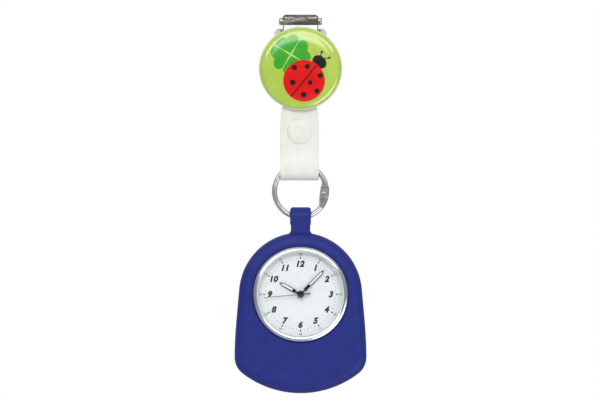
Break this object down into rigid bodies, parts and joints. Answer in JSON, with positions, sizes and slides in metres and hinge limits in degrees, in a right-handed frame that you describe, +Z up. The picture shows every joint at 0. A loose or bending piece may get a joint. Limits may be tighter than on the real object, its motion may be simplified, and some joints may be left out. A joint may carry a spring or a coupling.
{
  "type": "fob_watch",
  "caption": "Clip-on fob watch: a round ladybird badge on a metal clip, a short translucent strap, a hinged steel ring, and a quartz watch in a blue silicone sleeve",
  "frame": {"origin": "middle of the clip jaw gap, on the centre line of the plate", "axes": "+Z up along the hanging assembly, +X to the right as worn and seen from the front, -Y out of the dial"},
  "size_m": [0.041, 0.0115, 0.1176],
  "materials": {
    "nickel_steel": "nickel plated, lightly brushed",
    "tinplate": "bright tinplate",
    "badge_paper": "printed green",
    "badge_film": "clear gloss film",
    "card": "plain card",
    "foam_tape": "white foam tape",
    "pad_plastic": "translucent white",
    "dark_steel": "dark",
    "vinyl": "milky translucent vinyl",
    "eyelet_brass": "nickel plated",
    "snap_plastic": "white acetal",
    "ring_steel": "nickel plated steel wire",
    "silicone": "smooth moulded silicone",
    "case_steel": "satin",
    "polished_steel": "mirror polished",
    "crystal_glass": "clear mineral glass",
    "gasket_clear": "clear nylon",
    "rehaut_paint": "pale grey",
    "dial_paint": "matt white",
    "holder_plastic": "white acetal",
    "seal_rubber": "black nitrile",
    "plate_brass": "fine grained",
    "screw_steel": "satin",
    "iron_alloy": "annealed",
    "copper_wire": "enamelled copper",
    "board_green": "solder mask",
    "can_steel": "plain",
    "gear_brass": "bright",
    "gear_plastic": "moulded",
    "hand_black": "gloss black with white lume",
    "hand_grey": "satin grey"
  },
  "bodies": {
    "clip": {"clip_frame": "nickel_steel", "clip_pivot_pin": "nickel_steel", "strap_bar": "nickel_steel", "badge_shell": "tinplate", "badge_print": "badge_paper", "badge_film": "badge_film", "badge_back_plate": "tinplate", "badge_inner_disc": "card", "badge_glue_pad": "foam_tape"},
    "lever": {"clip_lever": "nickel_steel", "clip_jaw_pad": "pad_plastic", "lever_cover": "pad_plastic", "cover_rivets": "dark_steel"},
    "strap": {"strap_front": "vinyl", "strap_eyelet": "eyelet_brass", "snap_cap": "snap_plastic", "snap_stud": "snap_plastic"},
    "strap_end": {"strap_tail": "vinyl", "snap_socket": "snap_plastic", "snap_back_cap": "snap_plastic"},
    "ring_upper": {"ring_upper_half": "ring_steel", "ring_rivet": "ring_steel"},
    "ring_lower": {"ring_lower_half": "ring_steel"},
    "watch": {"silicone_sleeve": "silicone", "case_middle": "case_steel", "bezel": "polished_steel", "crystal": "crystal_glass", "crystal_gasket": "gasket_clear", "rehaut_ring": "rehaut_paint", "dial": "dial_paint", "movement_holder": "holder_plastic", "case_back": "case_steel", "case_back_gasket": "seal_rubber", "crown_tube": "plate_brass", "mainplate": "plate_brass", "train_bridge": "plate_brass", "movement_screws": "screw_steel", "stator": "iron_alloy", "coil_core": "iron_alloy", "coil_winding": "copper_wire", "circuit_board": "board_green", "quartz_can": "can_steel", "battery": "can_steel", "battery_clamp": "screw_steel"},
    "seconds": {"seconds_wheel": "gear_brass", "second_hand": "hand_grey"},
    "rotor_body": {"rotor": "gear_plastic"},
    "intermediate": {"intermediate_wheel": "gear_plastic"},
    "third": {"third_wheel": "gear_brass"},
    "minutes": {"centre_wheel": "gear_brass", "cannon_pinion": "gear_brass", "minute_hand": "hand_black"},
    "minute_work": {"minute_wheel": "gear_brass"},
    "hours": {"hour_wheel": "gear_brass", "hour_hand": "hand_black"},
    "crown_body": {"crown": "polished_steel", "stem": "screw_steel"},
    "seal": {"crown_seal": "seal_rubber"}
  },
  "joints": [
    {"name": "lever_pivot", "type": "hinge", "parent": "clip", "child": "lever", "pos_m": [0, 0.0022, 0], "axis": [1, 0, 0], "range_deg": [0, 95]},
    {"name": "strap_swing", "type": "hinge", "parent": "clip", "child": "strap", "pos_m": [0, 0.00065, -0.0225], "axis": [1, 0, 0], "range_deg": [-1.5, 60]},
    {"name": "strap_end_hinge", "type": "hinge", "parent": "strap", "child": "strap_end", "pos_m": [0, 0.00358, -0.04615], "axis": [-1, 0, 0], "range_deg": [0, 70]},
    {"name": "ring_swing", "type": "hinge", "parent": "strap", "child": "ring_upper", "pos_m": [0, 0.0009, -0.047], "axis": [1, 0, 0], "range_deg": [-28, 28]},
    {"name": "ring_hinge", "type": "hinge", "parent": "ring_upper", "child": "ring_lower", "pos_m": [0.0073, 0.0009, -0.0542], "axis": [0, -1, 0], "range_deg": [0, 70]},
    {"name": "watch_swing", "type": "hinge", "parent": "ring_lower", "child": "watch", "pos_m": [0, 0.0009, -0.0609], "axis": [1, 0, 0], "range_deg": [-80, 80]},
    {"name": "crown_pull", "type": "slide", "parent": "watch", "child": "seal", "axis": [1, 0, 0], "range_m": [0, 0.0006]},
    {"name": "crown_turn", "type": "hinge", "parent": "seal", "child": "crown_body", "pos_m": [0.0165, 0.0009, -0.0849], "axis": [1, 0, 0], "continuous": true},
    {"name": "seconds_turn", "type": "hinge", "parent": "watch", "child": "seconds", "pos_m": [0, 0.0009, -0.0849], "axis": [0, -1, 0], "continuous": true},
    {"name": "rotor_turn", "type": "hinge", "parent": "watch", "child": "rotor_body", "pos_m": [0.00391, 0.0009, -0.08818], "axis": [0, -1, 0], "continuous": true},
    {"name": "intermediate_turn", "type": "hinge", "parent": "watch", "child": "intermediate", "pos_m": [0.0023, 0.0009, -0.08683], "axis": [0, -1, 0], "continuous": true},
    {"name": "third_turn", "type": "hinge", "parent": "watch", "child": "third", "pos_m": [-0.00288, 0.0009, -0.08595], "axis": [0, -1, 0], "continuous": true},
    {"name": "minutes_turn", "type": "hinge", "parent": "watch", "child": "minutes", "pos_m": [0, 0.0009, -0.0849], "axis": [0, -1, 0], "continuous": true},
    {"name": "minute_work_turn", "type": "hinge", "parent": "watch", "child": "minute_work", "pos_m": [-0.00068, 0.0009, -0.08678], "axis": [0, -1, 0], "continuous": true},
    {"name": "hours_turn", "type": "hinge", "parent": "watch", "child": "hours", "pos_m": [0, 0.0009, -0.0849], "axis": [0, -1, 0], "continuous": true}
  ],
  "couplings": [
    {"joint": "rotor_turn", "follows": "seconds_turn", "ratio": 30},
    {"joint": "intermediate_turn", "follows": "seconds_turn", "ratio": -5},
    {"joint": "third_turn", "follows": "seconds_turn", "ratio": -0.13333},
    {"joint": "minutes_turn", "follows": "seconds_turn", "ratio": 0.016667},
    {"joint": "minute_work_turn", "follows": "seconds_turn", "ratio": -0.0055556},
    {"joint": "hours_turn", "follows": "seconds_turn", "ratio": 0.0013889}
  ]
}
